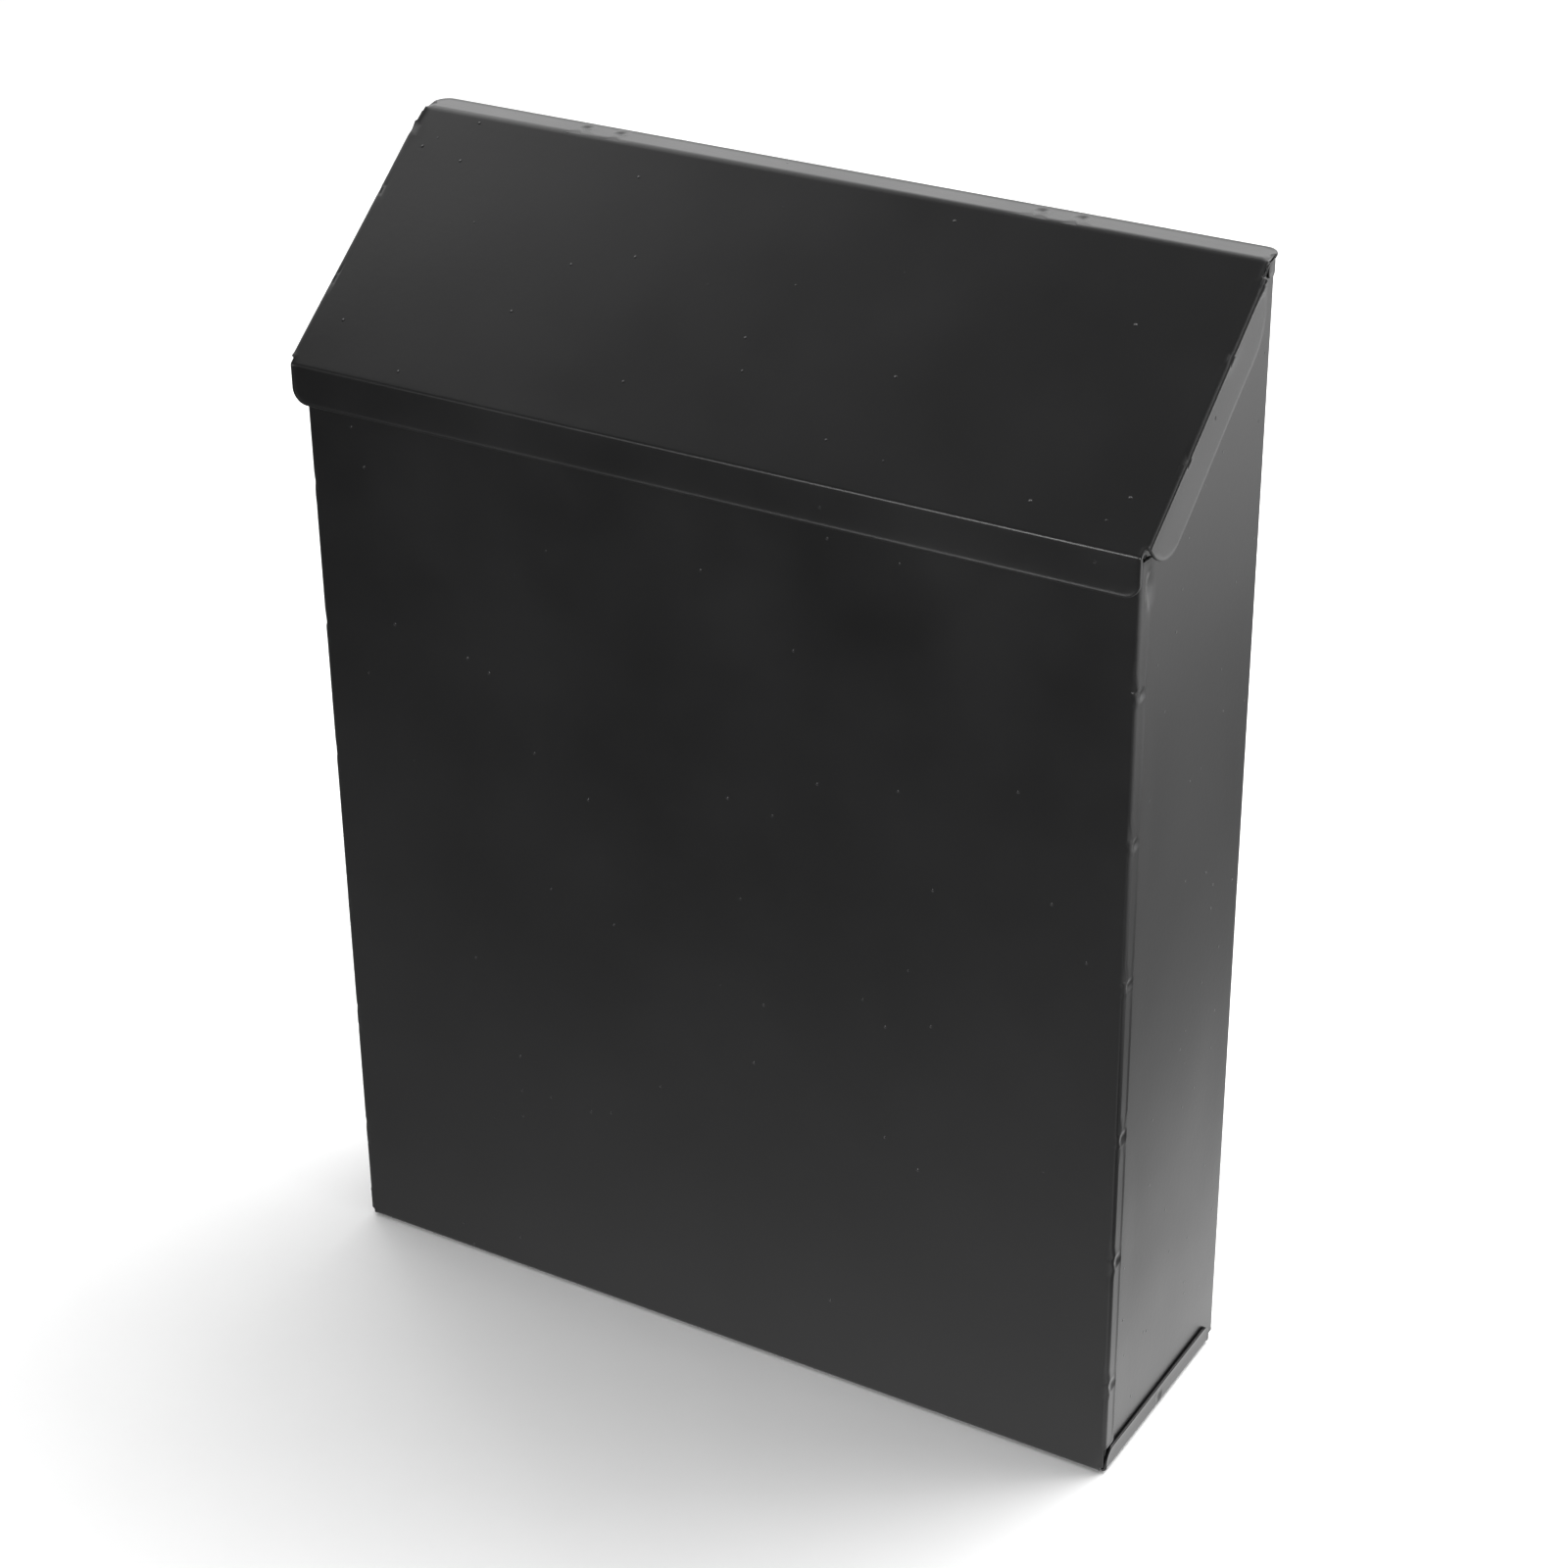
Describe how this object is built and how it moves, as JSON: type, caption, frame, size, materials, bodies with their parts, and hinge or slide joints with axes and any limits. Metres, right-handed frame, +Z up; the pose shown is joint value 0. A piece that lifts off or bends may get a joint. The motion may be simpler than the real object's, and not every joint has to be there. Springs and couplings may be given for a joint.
{
  "type": "wall mounted mailbox",
  "caption": "Vertical wall mounted mailbox of folded black steel sheet, with a hinged slanted lid and screw holes in the back.",
  "frame": {"origin": "centre of the four wall screw holes, on the rear face of the back panel", "axes": "+X to the right of someone facing the mailbox, +Y into the wall, +Z up"},
  "size_m": [0.2464, 0.0747, 0.3219],
  "materials": {
    "black_coat": "satin black powder coat",
    "hinge_coat": "satin black powder coat, thinner on the knuckles",
    "pin_steel": "bright drawn steel wire"
  },
  "bodies": {
    "mailbox_body": {"back_and_sides": "black_coat", "front_and_bottom": "black_coat", "hinge_left_back_leaf": "hinge_coat", "hinge_right_back_leaf": "hinge_coat"},
    "lid": {"lid": "black_coat", "hinge_left_lid_leaf": "hinge_coat", "hinge_left_pin": "pin_steel", "hinge_right_lid_leaf": "hinge_coat", "hinge_right_pin": "pin_steel"}
  },
  "joints": [
    {"name": "lid_hinge", "type": "hinge", "parent": "mailbox_body", "child": "lid", "pos_m": [0, -0.0025, 0.1594], "axis": [-1, 0, 0], "range_deg": [0, 90]}
  ]
}
